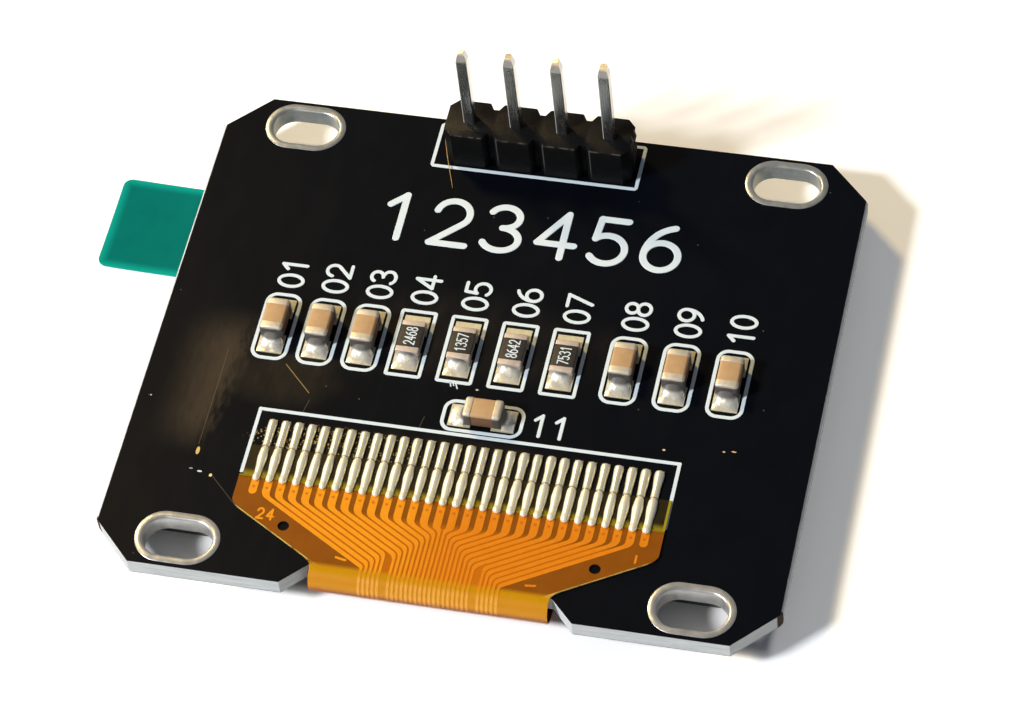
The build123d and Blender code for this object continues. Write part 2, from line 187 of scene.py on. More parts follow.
glass = Finish("display_glass")
cut_edge = glass.noise(3, 4, (1, 1, 0.2))
driver_low, driver_high = extent("driver_chip")
driver_half = driver_high[0]
lead_pitch = 0.2
over_chip = abs(glass.x).rise(driver_half, driver_half - 0.1) * (glass.y - driver_low[1]).rise(0, 0.1)
over_chip = over_chip * (driver_high[1] - glass.y).rise(0, 0.1)
leads = (glass.x / lead_pitch).fraction().rise(0.45, 0.3)
leads = leads * abs(glass.x).rise(driver_half + 2, driver_half + 1.5) * (glass.y - driver_high[1]).rise(0, 0.1)
glass_tone = glass.mix(glass.noise(0.5, 3), (14, 18, 20), (26, 34, 36))
glass_tone = glass.mix(leads * 0.4, glass_tone, (70, 74, 72))
glass_tone = glass.mix(over_chip, glass_tone, (96, 98, 104))
glass.surface(glass_tone, 0.05 + 0.14 * cut_edge, 0.006 * cut_edge, Coat_Weight=0.5)
dress(glass, "front_glass")

backing = grained("display_glass_rear", (0.8, 4), (22, 23, 26), (44, 46, 50), (0.12, 0.2), (0.005, 2.5, 3),
                  Metallic=0.3)
dress(backing, "rear_glass")
silicon = grained("bare_silicon", (2, 3, (0.15, 6, 6)), (58, 60, 70), (96, 98, 108), (0.14, 0.2), (0.004,),
                  Metallic=0.7)
dress(silicon, "driver_chip")
foam = grained("foam_tape", (5, 4), (188, 188, 182), (228, 228, 222), (0.75, 0.2), (0.05,))
dress(foam, "mounting_tape")

adhesive = Finish("bond_adhesive")
grains = adhesive.specks(6, 0.06, 0.6)
adhesive_tone = adhesive.mix(grains, (146, 96, 48), (206, 178, 120))
adhesive.surface(adhesive_tone, 0.35 + 0.2 * adhesive.noise(3), 0.006 * grains)
dress(adhesive, "flex_bond")

# Circuit board: a glass-fibre laminate, black with solder mask on both faces and pale where its outline was
# cut. Flux left a brown film beside the chips and round the flex contacts, and dust, crumbs and scratches lie
# on it. The brown haze on its left part is flux residue and also a painted sheen of the warm lamp.
board_low, board_high = extent("circuit_board")
board_top, board_bottom = board_high[2], board_low[2]
mask_depth = 0.035
broken_corner = (17.7, -13.1)

board = Finish("board_mask")
weave = board.noise(1.4, 4, (1, 0.25, 1))
fibres = board.noise(3, 4, (0.25, 0.25, 2.5))
wandering = mask_depth * (0.5 + board.noise(2.2, 3))
upper_mask = (board.z - (board_top - wandering)).rise(0, 0.01)
masked = upper_mask.most((board_bottom + wandering - board.z).rise(0, 0.01))


def spot(finish, x, y, reach_x, reach_y):
    """1 in the middle of an oval place on the board, falling smoothly to 0 at its rim."""
    return (((finish.x - x) / reach_x) ** 2 + ((finish.y - y) / reach_y) ** 2).rise(1.0, 0.0)


def line(finish, start, end, width):
    """1 along a thin straight mark: the part along it is inside its length and the part across is near 0."""
    run = np.subtract(end, start)
    length = float(np.hypot(*run))
    along_x, along_y = (float(part) for part in run / length)
    off_x = finish.x - start[0]
    off_y = finish.y - start[1]
    along = off_x * along_x + off_y * along_y
    across = abs(off_y * along_x - off_x * along_y)
    return across.rise(width, width * 0.4) * along.rise(-width, width) * (along - length).rise(width, -width)


smear = board.noise(1.1, 5, (1.0, 0.35, 1.0))
streaks = board.noise(2.6, 5, (1.5, 0.45, 1.0))
flux = 0.7 * spot(board, 0.0, -7.0, 13.5, 2.6) + 0.5 * spot(board, -1.0, 1.0, 13.0, 4.5)
flux = ((flux + 0.7 * spot(board, -10.5, -3.0, 5.0, 2.6)) * (0.25 + smear)).rise(0.12, 0.95)
# Brown haze at the left: flux residue, and also a painted sheen that stands for the warm lamp's reflection on
# the flux.
flux_haze_and_sheen = board.x.rise(-16.8, -13.2) * (board.x + 2.4 * streaks - 0.12 * board.y).rise(-10.9, -12.3)
flux_haze_and_sheen = flux_haze_and_sheen * board.y.rise(1.4, -1.8) * board.y.rise(-8.6, -5.8) * (0.55 + 0.9 * streaks)
dust = board.specks(1.1, 0.045, 0.3) * (board.z - board_top).rise(-0.01, 0)
scratch = line(board, (-10.42, -2.08), (-8.78, -3.7), 0.035)
hairline = line(board, (-13.65, -1.6), (-13.66, -7.73), 0.03)
for ends in ((-12.5, -9.5, -10.84, -11.1), (-8.8, -4.9, -8.65, -4.1), (-2.62, -4.9, -2.5, -4.2)):
    hairline = hairline.most(line(board, ends[:2], ends[2:], 0.03))
crumbs = board.specks(4.2, 0.07, 0.75).most(board.specks(6.4, 0.055, 0.7))
crumbs = crumbs * spot(board, -6.4, -6.8, 5.4, 1.4).rise(0, 0.3)
mask_tone = board.mix(board.noise(0.5, 4), (3, 6, 12), (8, 11, 18))
for amount, stain in (
    (flux * (0.3 + streaks), (37, 31, 22)),
    (flux_haze_and_sheen, (60, 51, 40)),
    (hairline * 0.4, (104, 94, 74)),
    (scratch * 0.8, (150, 126, 80)),
    (crumbs * 0.8, (178, 158, 100)),
    (dust * 0.6, (120, 120, 118)),
):
    mask_tone = board.mix(amount, mask_tone, stain)
# The three spots in a row at x -13.7 to -12.6, y near -9.4, are painted glints. The other spots are specks and
# flakes.
for x, y, reach_x, reach_y, speck_and_glint_tone in (
    (-13.6, -8.12, 0.12, 0.3, (206, 178, 104)),
    (-13.67, -9.25, 0.12, 0.06, (130, 150, 170)),
    (-13.18, -9.36, 0.16, 0.07, (196, 216, 232)),
    (-12.56, -9.51, 0.1, 0.12, (232, 208, 150)),
    (10.06, -4.31, 0.1, 0.07, (214, 190, 140)),
    (13.09, -3.95, 0.09, 0.06, (200, 180, 130)),
    (13.59, -3.87, 0.16, 0.05, (210, 182, 130)),
    (-0.18, -2.14, 0.1, 0.06, (200, 190, 170)),
    (-16.94, -5.1, 0.06, 0.06, (180, 180, 180)),
):
    mask_tone = board.mix(spot(board, x, y, reach_x, reach_y).rise(0.1, 0.5), mask_tone, speck_and_glint_tone)
laminate = board.mix(fibres, (152, 160, 166), (208, 210, 208))
for side in (-1, 1):
    broken_off = spot(board, side * broken_corner[0], broken_corner[1], 0.4, 0.3).rise(0.1, 0.6)
    laminate = board.mix(broken_off, laminate, (64, 52, 46))
board_rough = 0.78 - masked * (0.5 - 0.22 * flux.most(flux_haze_and_sheen)) + 0.1 * weave
board_relief = 0.012 * fibres * (1 - masked) + 0.0025 * weave * masked + 0.004 * smear * flux
board.surface(board.mix(masked, laminate, mask_tone), board_rough, board_relief,
              Specular_IOR_Level=0.1, Coat_Weight=flux * masked * 0.2, Coat_Roughness=0.35)
dress(board, "circuit_board")

# Plated slots: copper barrels with a land on each face of the board, tinned. The tin flowed over the rim, so
# the land rolls into the barrel; the section is carried once round each slot.
slot_pitch = np.array([26.5, 27.06])
slot_reach = 0.7
slot_radius = 1.1
land_width = 0.42
plating = 0.05
rim_roll = 0.16


def skin(name, rings, loop=False, sharp=42):
    """Mesh of profiles carried along paths. The rings, in millimetres, have the shape paths, stations, points
    round the profile, 3. Quads join each ring to the next; a path closes on its first ring if it is a loop, and
    otherwise gets a face on both end rings. Edges sharper than the angle stay sharp."""
    paths, stations, points = rings.shape[:3]
    index = np.arange(paths * stations * points).reshape(paths, stations, points)
    here = index if loop else index[:, :-1]
    ahead = np.roll(index, -1, 1) if loop else index[:, 1:]
    quads = np.stack([here, np.roll(here, -1, 2), np.roll(ahead, -1, 2), ahead], -1).reshape(-1, 4)
    ends = [] if loop else np.concatenate([index[:, 0], index[:, -1]]).tolist()
    mesh = bpy.data.meshes.new(name)
    mesh.from_pydata((rings.reshape(-1, 3) * MM).tolist(), [], quads.tolist() + ends)
    shell = bmesh.new()
    shell.from_mesh(mesh)
    closer = 2e-4 * MM
    bmesh.ops.remove_doubles(shell, verts=shell.verts, dist=closer)
    bmesh.ops.dissolve_degenerate(shell, edges=shell.edges, dist=closer)
    bmesh.ops.recalc_face_normals(shell, faces=shell.faces)
    shell.to_mesh(mesh)
    shell.free()
    mesh.shade_smooth()
    mesh.set_sharp_from_angle(angle=math.radians(sharp))
    return mesh


def placed(name, data):
    """A new object in the scene, at the origin."""
    thing = bpy.data.objects.new(name, data)
    bpy.context.scene.collection.objects.link(thing)
    return thing


def fit(mesh, finish, slot, *nodes):
    """Put a new piece on the board's body, with its finish and the solids that it stands for."""
    thing = placed(mesh.name, mesh)
    mesh.materials.append(finish.holder)
    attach(thing, "root")
    if nodes:
        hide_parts(*nodes)


def sweep(start, end, steps):
    """Directions at even angles from one to another in degrees, each as its cosine and sine."""
    turn = np.radians(np.linspace(start, end, steps))
    return np.stack([np.cos(turn), np.sin(turn)], -1)


def joined(*axes):
    """Points from their places along each axis, which are first spread to one shape."""
    return np.stack(np.broadcast_arrays(*axes), -1)


def raised(flat, height):
    """Points of a flat drawing, each with its height."""
    return joined(flat[..., 0], flat[..., 1], height)


def slot_rings():
    """Rings round the four slots: each point goes out from the slot's middle line by its offset in the section,
    at an angle that turns once round; the half turns stand at the two ends of the middle line."""
    steps = 25
    turn = np.radians(np.concatenate([np.linspace(-90, 90, steps), np.linspace(90, 270, steps)]))
    end = np.repeat([1.0, -1.0], steps)
    roll = np.radians(np.linspace(0, 90, 6))
    top = board_top + plating
    rim = np.stack([slot_radius + rim_roll * (1 - np.cos(roll)), top - rim_roll * (1 - np.sin(roll))], -1)
    outer = slot_radius + land_width
    edge = np.array([[outer - 0.03, top], [outer, top - 0.02], [outer, board_top]])
    upper = np.concatenate([rim, edge])
    lower = upper[::-1] * [1, -1] + [0, board_top + board_bottom]
    section = np.concatenate([upper, lower])
    uneven = 1 + 0.006 * np.sin(turn * 3 + 1)
    offset = section[None, :, 0] * uneven[:, None]
    x = slot_reach * end[:, None] + offset * np.cos(turn)[:, None]
    y = offset * np.sin(turn)[:, None]
    middles = np.array([[x_side, y_side] for x_side in (-0.5, 0.5) for y_side in (-0.5, 0.5)]) * slot_pitch
    return raised(joined(x, y) + middles[:, None, None], section[:, 1])


tin = Finish("tin_plating")
dull = tin.noise(2.4, 4)
at_front = tin.y.rise(5, -5)
dull_tin = tin.mix(at_front, (150, 154, 151), (172, 172, 168))
clean_tin = tin.mix(at_front, (194, 198, 195), (216, 214, 210))
tin.surface(tin.mix(dull, dull_tin, clean_tin), 0.22 + 0.22 * dull, 0.02 * tin.noise(1.6, 3), Metallic=0.7)
fit(skin("slot_rims", slot_rings(), loop=True), tin, "tin_plating", "slot_plating")

# Solder pads: copper under each chip's ends and in line with the fingers of the flex, plated with gold. They
# are thin and flat, so the solids stay and get their finish.
pad_top = extent("chip_pads")[1][2]
gold = grained("gold_plating", (4, 4), (186, 177, 144), (216, 210, 183), (0.45, 0.2), (0.006,), Metallic=0.4)
dress(gold, "chip_pads", "contact_pads")

# Printed legend: white ink frames round the header, the chips and the flex contacts, and plain numbers,
# drawn as a pen of one width would draw them. The ink is thin and a little uneven.
ink_low, ink_high = extent("legend_frames")
ink_thick = ink_high[2] - ink_low[2]
pen_frame, pen_thin, pen_big, pen_frayed = 0.2, 0.2, 0.4, 0.07
frame_points = 120
frame_width, frame_length = 2.0, 4.34
round_corner, square_corner = 0.55, 0.06
header_frame = (-0.23, 13.46, 11.4, 3.06)
bracket_half, bracket_top, bracket_end = 11.025, -5.048, -9.0
chip_row = 0.23
capacitor_xs = [-11.52, -9.1, -6.68, 7.05, 9.84, 12.63]
resistor_xs = [-4.245, -1.515, 1.215, 3.945]
lone_chip = (0.51, -3.88)
digit_width = 0.62


def arc(x, y, reach_x, reach_y, start, end):
    """Points on an oval from one angle to another."""
    return [x, y] + [reach_x, reach_y] * sweep(start, end, 28)


def straight(*ends):
    """Points along one straight stroke."""
    return np.linspace(*ends, 28)


six = [arc(0.62, 0.31, 0.62, 0.69, 104, 180), arc(0.31, 0.31, 0.31, 0.31, 0, 180),
       arc(0.31, 0.31, 0.31, 0.31, 180, 360)]
DIGITS = {
    "0": [arc(0.31, 0.5, 0.31, 0.5, 90, 270), arc(0.31, 0.5, 0.31, 0.5, 270, 450)],
    "1": [straight((0.1, 0.76), (0.36, 1.0)), straight((0.36, 1.0), (0.36, 0.0))],
    "2": [np.concatenate([arc(0.31, 0.7, 0.3, 0.3, 170, -32), straight((0.53, 0.5), (0.0, 0.0))]),
          straight((0.0, 0.0), (0.64, 0.0))],
    "3": [arc(0.29, 0.76, 0.27, 0.24, 155, -90), arc(0.29, 0.26, 0.33, 0.26, 90, -155)],
    "4": [straight((0.46, 1.0), (0.0, 0.3)), straight((0.0, 0.3), (0.66, 0.3)),
          straight((0.46, 1.0), (0.46, 0.0))],
    "5": [straight((0.58, 1.0), (0.1, 1.0)), straight((0.1, 1.0), (0.06, 0.54)),
          arc(0.29, 0.32, 0.33, 0.32, 135, -145)],
    "6": six,
    "7": [straight((0.0, 1.0), (0.62, 1.0)), straight((0.62, 1.0), (0.2, 0.0))],
    "8": [arc(0.31, 0.76, 0.26, 0.24, -90, 90), arc(0.31, 0.76, 0.26, 0.24, 90, 270),
          arc(0.31, 0.26, 0.31, 0.26, 90, 270), arc(0.31, 0.26, 0.31, 0.26, 270, 450)],
    "9": [[digit_width, 1.0] - stroke for stroke in six],
}


def resample(path, count):
    """The same path as count points at even distances along it."""
    step = np.hypot(*np.diff(path, axis=0).T)
    run = np.concatenate([[0], np.cumsum(step)])
    even = np.linspace(0, run[-1], count)
    return np.stack([np.interp(even, run, path[:, 0]), np.interp(even, run, path[:, 1])], -1)


def pen_rings(path, pen, low, high, count=40):
    """Rings of one pen stroke: at each station the section is a flat bar across the path. Beyond either end of
    the path the bar's half width falls as a half circle does, so the stroke ends round."""
    points = resample(path, count)
    ahead = np.gradient(points, axis=0)
    ahead /= np.hypot(*ahead.T)[:, None]
    beyond = pen / 2 * np.sin(np.radians(np.linspace(90, 0, 6)))[:-1]
    start = points[0] - beyond[:, None] * ahead[0]
    points = np.concatenate([start, points, points[-1] + beyond[::-1, None] * ahead[-1]])
    ahead = np.pad(ahead, ((len(beyond), len(beyond)), (0, 0)), mode="edge")
    cap = np.sqrt(np.maximum((pen / 2) ** 2 - beyond ** 2, 0))
    half = np.concatenate([cap, np.full(count, pen / 2), cap[::-1]])
    side = np.stack([-ahead[:, 1], ahead[:, 0]], -1) * half[:, None]
    bar = np.stack([points + side, points + 0.9 * side, points - 0.9 * side, points - side], 1)
    return raised(bar, [low, high, high, low])


def number_rings(text, corner, size, advance, pen, low, thick, upwards=False):
    """Rings of all the strokes of a number from its lower left corner, with its digits' width and height as its
    size; it may read upwards. Each stroke of a digit lies a hair higher than the one under it."""
    strokes = []
    for place, digit in enumerate(text):
        for layer, stroke in enumerate(DIGITS[digit]):
            flat = stroke / [digit_width, 1] * size + [advance * place, 0]
            flat = flat[:, ::-1] * [-1, 1] if upwards else flat
            strokes.append(pen_rings(flat + corner, pen, low, low + thick * (1 + 0.1 * layer)))
    return strokes


def frame_strokes(x, y, width, length, corner):
    """Strokes of a closed frame about a place: the two halves of a rectangle with round corners, one a hair
    higher than the other."""
    half_x, half_y = (width - pen_frame) / 2, (length - pen_frame) / 2
    quarter = np.array([half_x, half_y]) - corner + corner * sweep(90, 0, 12)
    half = np.concatenate([[[0, half_y]], quarter, quarter[::-1] * [1, -1], [[0, -half_y]]])
    tops = {side: board_top + ink_thick * (1.05 + 0.05 * side) for side in (-1, 1)}
    return [pen_rings(half * [side, 1] + [x, y], pen_frame, board_top, top, frame_points)
            for side, top in tops.items()]


ink = grained("legend_ink", (1.6, 5), (202, 217, 224), (218, 229, 234), (0.6, 0.2), (0.004, 5, 3))
frames = frame_strokes(*header_frame, square_corner)
frames += frame_strokes(*lone_chip, frame_length, frame_width, round_corner)
for x in capacitor_xs:
    frames += frame_strokes(x, chip_row, frame_width, frame_length, round_corner)
for x in resistor_xs:
    frames += frame_strokes(x, chip_row, frame_width - 0.01, frame_length, square_corner)
knees, feet = ([(side * bracket_half, y) for side in (-1, 1)] for y in (bracket_top, bracket_end))
for layer, ends in enumerate((knees, *zip(knees, feet))):
    bar_top = board_top + ink_thick * (1 + 0.05 * layer)
    frames.append(pen_rings(straight(*ends), pen_frame, board_top, bar_top, frame_points))
for ends in ((-1.66, -1.9, -1.58, -2.12), (-1.5, -1.92, -1.44, -2.06), (-1.36, -1.92, -1.22, -2.22)):
    fray = straight(ends[:2], ends[2:])
    frames.append(pen_rings(fray, pen_frayed, board_top, board_top + ink_thick, frame_points))
fit(skin("legend_lines", np.stack(frames)), ink, "legend_ink", "legend_frames")

on_board = (board_top, ink_thick)
strokes = number_rings("123456", (-7.7, 6.9), (1.85, 2.9), 2.86, pen_big, *on_board)
for number, x in enumerate(sorted(capacitor_xs + resistor_xs), 1):
    strokes += number_rings(f"{number:02d}", (x + 0.68, 2.88), (0.74, 1.3), 1.0, pen_thin, *on_board, True)
strokes += number_rings("11", (3.1, -4.5), (0.78, 1.28), 1.1, pen_thin, *on_board)
fit(skin("legend_numbers", np.stack(strokes)), ink, "legend_ink")

# Chip capacitors: seven tan ceramic blocks, each dipped in metal at both ends and fired, so the ends are a
# little thicker and rounder than the block between them.
cup_length = 0.42
cup_edge, cup_outer, cup_inner = 0.2, 0.15, 0.03
block_edge, block_end, block_lift = 0.16, 0.12, 0.02


def block_rings(length, width, height, edge, end_near, end_far):
    """Rings of a lying block with rounded edges, from the middle of its base: each ring is a rectangle with
    round corners, and at both ends the corners' radius shrinks with the cosine of a quarter turn."""
    out = sweep(7.5, 352.5, 24)
    corner = np.sign(out) * [width / 2 - edge, height / 2 - edge]
    shrunk, deep = (1 - sweep(0, 90, 6)).T
    near = np.stack([-length / 2 + end_near * deep, edge - end_near * shrunk], -1)[::-1]
    far = np.stack([length / 2 - end_far * deep, edge - end_far * shrunk], -1)
    stations = np.concatenate([near, far])
    across = corner + out * stations[:, 1, None, None] + [0, height / 2]
    return joined(stations[:, :1], across[..., 0], across[..., 1])[None]


def end_rings(length, cup, width, height, edge, outer, inner):
    """Rings of a chip's two metal ends: short blocks at both its ends, rounder outside than inside."""
    shift = [(length - cup) / 2, 0, 0]
    near = block_rings(cup, width, height, edge, outer, inner) - shift
    far = block_rings(cup, width, height, edge, inner, outer) + shift
    return np.concatenate([near, far])


def stand(rings, x, y, z, along_x=False):
    """Turn rings that lie along their first axis to the board's Y or X and set them down at a place."""
    turned = rings if along_x else rings[..., [1, 0, 2]] * [-1, 1, 1]
    return turned + [x, y, z]


def seat_of(name):
    """Where a piece of a chip stands: lowest and highest corner, middle, and whether it lies along X."""
    low, high = extent(name)
    return low, high, (low + high) / 2, high[0] - low[0] > high[1] - low[1]


chip_top = extent("capacitor_1_terminals")[1][2]
tan_ceramic = Finish("capacitor_ceramic")
fired = tan_ceramic.noise(3, 5)
# The ceramic's sides below its top are painted darker: painted shade.
painted_side_shade = (tan_ceramic.z - chip_top).rise(-0.14, -0.24)
fired_tone = tan_ceramic.mix(fired, (168, 132, 92), (194, 158, 114))
tan_ceramic.surface(tan_ceramic.mix(painted_side_shade, fired_tone, (112, 80, 54)), 0.42 + 0.2 * fired,
                    0.01 * tan_ceramic.noise(6, 3))
cup_metal = Finish("chip_terminals_fired")
# The metal ends are painted light on their tops and dark below them, on their end faces: painted light and
# shade.
painted_lit_top = (cup_metal.z - chip_top + 0.1 * cup_metal.noise(2)).rise(-0.16, -0.03)
cup_grain = cup_metal.noise(3.5, 4)
shaded_cup = cup_metal.mix(cup_grain, (70, 66, 64), (112, 106, 102))
lit_cup = cup_metal.mix(cup_grain, (194, 185, 165), (222, 213, 195))
cup_metal.surface(cup_metal.mix(painted_lit_top, shaded_cup, lit_cup), 0.4 + 0.2 * cup_grain,
                  0.012 * cup_metal.noise(4, 4), Metallic=0.55)
capacitors = [f"capacitor_{number}" for number in range(1, 8)]
for chip in capacitors:
    low, high, middle, lies_along_x = seat_of(f"{chip}_terminals")
    size = high - low
    length, width = (size[0], size[1]) if lies_along_x else (size[1], size[0])
    seat = (middle[0], middle[1], low[2], lies_along_x)
    body = block_rings(length - 0.4, width - 0.06, size[2] - 0.05, block_edge, block_end, block_end)
    body = stand(body + [0, 0, block_lift], *seat)
    fit(skin(f"{chip}_block", body), tan_ceramic, "capacitor_ceramic", f"{chip}_ceramic")
    cups = end_rings(length, cup_length, width, size[2], cup_edge, cup_outer, cup_inner)
    fit(skin(f"{chip}_ends", stand(cups, *seat)), cup_metal, "chip_terminals", f"{chip}_terminals")

# Chip resistors: alumina slabs with wrapped metal ends, rounded by their plating, and a dark overcoat
# that was printed over the slab's edges, with a number on it. The alumina is painted dark grey as painted
# shade.
wrap_length = 0.32
wrap_edge, wrap_outer, wrap_inner = 0.08, 0.07, 0.02
coat_over, coat_edge, coat_end = 0.08, 0.05, 0.04
code_thick, pen_code = 0.008, 0.065

# The alumina's tone is painted dark grey: painted shade on the slabs' sides.
alumina = grained("alumina", (5, 4), (116, 112, 106), (144, 140, 132), (0.55, 0.2), (0.01,))
terminal = grained("chip_terminals", (3.5, 4), (184, 168, 156), (208, 195, 184), (0.42, 0.2), (0.012, 4, 4),
                   Metallic=0.4)
overcoat = grained("resistor_overcoat", (4, 4), (24, 22, 22), (48, 42, 38), (0.42, 0.2), (0.012,))
resistors = {"resistor_1": "2468", "resistor_2": "1357", "resistor_3": "8642", "resistor_4": "7531"}
codes = []
for chip, code in resistors.items():
    dress(alumina, f"{chip}_slab")
    low, high, middle, _ = seat_of(f"{chip}_terminals")
    size = high - low
    wraps = end_rings(size[1], wrap_length, size[0] + 0.01, size[2], wrap_edge, wrap_outer, wrap_inner)
    wraps = stand(wraps, middle[0], middle[1], low[2])
    fit(skin(f"{chip}_ends", wraps), terminal, "chip_terminals", f"{chip}_terminals")
    coat_low, coat_high, middle, _ = seat_of(f"{chip}_overcoat")
    coat_size = coat_high - coat_low
    coat = block_rings(coat_size[1], size[0] + 0.004, coat_size[2] + coat_over, coat_edge, coat_end, coat_end)
    coat = stand(coat, middle[0], middle[1], coat_low[2] - coat_over)
    fit(skin(f"{chip}_coat", coat), overcoat, "resistor_overcoat", f"{chip}_overcoat")
    corner = (middle[0] + 0.29, coat_low[1] + 0.14)
    codes += number_rings(code, corner, (0.2, 0.56), 0.29, pen_code, coat_high[2], code_thick, True)
fit(skin("resistor_numbers", np.stack(codes)), ink, "legend_ink")

# Solder fillets of the chips: tin melted from paste, which climbs each chip's end, rougher there and painted
# dark as shade, and runs hollow and bright to the pad's edge. The chips of the row slid back, so their back
# fillets are starved.
fillets = np.random.default_rng(4)
slid_back = 0.1
pad_reach = 1.75
chip_half, pad_half = 0.6, 0.65
fillet_foot = 0.04
capacitor_climb, resistor_climb = 0.58, 0.4


def fillet_rings(reach, rise):
    """Rings of one fillet from the chip's end outwards: the height falls with a power of the way out, the half
    width grows to the pad's, and across it the top sinks to the pad at both sides like a flattened oval."""
    way = np.linspace(0, 1, 18)
    across = np.linspace(-1, 1, 15)
    crown = fillet_foot + (rise - fillet_foot) * (1 - way) ** 2.1
    half = chip_half + (pad_half - chip_half) * np.sqrt(way)
    shape = (1 - np.abs(across) ** 2.6) ** 0.75
    top = joined(way[:, None] * reach, across * half[:, None], crown[:, None] * shape)
    return np.concatenate([top, top[:, ::-1][:, 1:-1] * [1, 1, 0]], 1)[None]


solder = Finish("solder")
frost = solder.noise(3.2, 4)
# Where the solder climbs the chip's end it is painted dark: painted shade.
climb_painted_shade = (solder.z - pad_top + 0.06 * solder.noise(2.5)).rise(0.2, 0.4)
flowed = solder.mix(frost, (232, 224, 202), (255, 251, 236))
solder_tone = solder.mix(climb_painted_shade * 0.9, flowed, (80, 76, 76))
solder.surface(solder_tone, 0.2 + 0.2 * frost + 0.3 * climb_painted_shade,
               0.04 * solder.noise(2.2, 3) + 0.006 * solder.noise(6, 2), Metallic=0.62)
climbs = [(chip, capacitor_climb) for chip in capacitors] + [(chip, resistor_climb) for chip in resistors]
drops = []
for chip, rise in climbs:
    low, high, middle, lies_along_x = seat_of(f"{chip}_terminals")
    axis = 0 if lies_along_x else 1
    cross = middle[1 - axis]
    for side, chip_end in ((-1, low[axis]), (1, high[axis])):
        reach = abs(middle[axis] - slid_back + side * pad_reach - chip_end)
        starved = side > 0 and not lies_along_x
        climb = rise * fillets.uniform(0.85, 1.1) * (0.4 if starved else 1)
        drop = fillet_rings(reach * 0.35 if starved else reach - 0.03, climb) * [side, 1, 1]
        place = (chip_end, cross) if lies_along_x else (cross, chip_end)
        drops.append(stand(drop, *place, pad_top, lies_along_x))
fit(skin("chip_fillets", np.concatenate(drops)), solder, "solder", "chip_solder")

# Pin header: a strip of black moulded plastic, snapped off at its right end, with four square pins pressed
# through it and soldered under the board. The pins are drawn wire, tinned, with bare sheared tips.
housing_low, housing_high = extent("header_housing")
housing_front, housing_top = housing_low[1], housing_high[2]
pin_pitch = 2.54
waists = np.array([-pin_pitch, 0, pin_pitch])
waist_mouth, waist_floor, waist_deep, waist_soft = 0.37, 0.14, 0.4, 0.04
waist_lip = 0.4
housing_cut = 0.45
snap = np.random.default_rng(11)
snap_depth = 0.16


def housing_rings():
    """Rings of the strip, from the board up: its outline with cut corners and a waist between each two pins.
    The points of the snapped end are pushed in by chance at each height, and the last ring is drawn in."""
    middle_y = (housing_low[1] + housing_high[1]) / 2
    half_y = (housing_high[1] - housing_low[1]) / 2
    left, right = housing_low[0], housing_high[0]
    cut, soft = housing_cut, waist_soft
    to_right = np.array([waist_floor, waist_mouth - soft / 2, waist_mouth + soft])
    front_x = (waists[:, None] + np.concatenate([-to_right[::-1], to_right])).ravel()
    front_y = np.tile([0, soft, waist_deep, waist_deep, soft, 0], len(waists)) - half_y
    end_y = np.linspace(cut - half_y, half_y - cut, 9)
    x = np.concatenate([[left + cut], front_x, [right - cut], np.full(len(end_y), right), [right - cut],
                        front_x[::-1], [left + cut], [left, left]])
    y = np.concatenate([[-half_y], front_y, [-half_y], end_y, [half_y],
                        -front_y[::-1], [half_y], [half_y - cut, cut - half_y]])
    outline = np.stack([x, y], -1)
    edge = np.roll(outline, -1, 0) - outline
    edge /= np.hypot(*edge.T)[:, None]
    inward = np.stack([-edge[:, 1], edge[:, 0]], -1)
    corner = inward + np.roll(inward, 1, 0)
    corner /= (1 + (inward * np.roll(inward, 1, 0)).sum(1))[:, None]
    wall = np.linspace(housing_low[2], housing_top - 0.06, 8)
    heights = np.concatenate([wall, [housing_top - 0.02, housing_top]])
    draw = np.concatenate([np.zeros(len(wall)), [0.02, 0.06]])
    rings = outline[None] + corner[None] * draw[:, None, None]
    first = len(front_x) + 2
    rings[:, first:first + len(end_y), 0] -= snap.uniform(0, snap_depth, (len(heights), len(end_y)))
    return raised(rings + [0, middle_y], heights[:, None])[None]


plastic = Finish("header_plastic")
mould = plastic.noise(2.2, 5)
bloom = plastic.noise(0.9, 4).rise(0.4, 0.75) * plastic.noise(7, 3).rise(0.4, 0.62)
on_top = (plastic.z - housing_top).rise(-0.08, -0.01)
dusty = on_top * (bloom * 0.8 + plastic.specks(5, 0.06, 0.3)) * (plastic.x / 4).rise(1.6, -1.4)
# Light lines along the top front edge and beside each waist's right lip are painted glints.
front_edge_glint = (plastic.y - housing_front).rise(0.07, 0.02) * (plastic.z - housing_top).rise(-0.09, -0.04)
painted_glints = front_edge_glint * mould.rise(0.4, 0.6)
for waist in waists:
    lip = abs(plastic.x - waist - waist_lip).rise(0.05, 0.015) * (plastic.y - housing_front).rise(0.12, 0.05)
    painted_glints = painted_glints.most(lip * (plastic.z - housing_low[2]).rise(0.2, 1.2))
moulded = plastic.mix(painted_glints, plastic.mix(mould, (4, 4, 5), (11, 11, 11)), (70, 66, 62))
plastic.surface(plastic.mix(dusty * 0.8, moulded, (48, 35, 28)), 0.42 + 0.2 * mould,
                0.02 * mould + 0.008 * plastic.noise(9, 3), Specular_IOR_Level=0.16)
fit(skin("header_strip", housing_rings(), sharp=30), plastic, "header_plastic", "header_housing")

pin_low, pin_high = extent("header_pin_1")
pin_middle_y, pin_top = (pin_low[1] + pin_high[1]) / 2, pin_high[2]
pin_edge = 0.07
pin_taper = 0.72


def pin_rings(low, high, slant, short):
    """Rings of one pin: a square with small round corners carried up the pin, drawn in towards both ends. The
    last rings lean, because the wire was sheared."""
    half = (high[0] - low[0]) / 2 - 0.02
    out = sweep(9, 351, 20)
    square = np.sign(out) * (half - pin_edge) + pin_edge * out
    tip = high[2] - short
    height = np.array([low[2], low[2] + pin_taper, tip - pin_taper, tip - 0.5 * pin_taper, tip - 0.12, tip])
    share = np.array([0.53, 1, 1, 0.76, 0.6, 0.48])
    rings = square[None] * share[:, None, None]
    lean = np.array([0, 0, 0, 0, 0.1, 0.16])[:, None] * (slant * square[:, 0] - half)[None] / (2 * half)
    return raised(rings + ((low + high) / 2)[:2], height[:, None] + lean)[None]


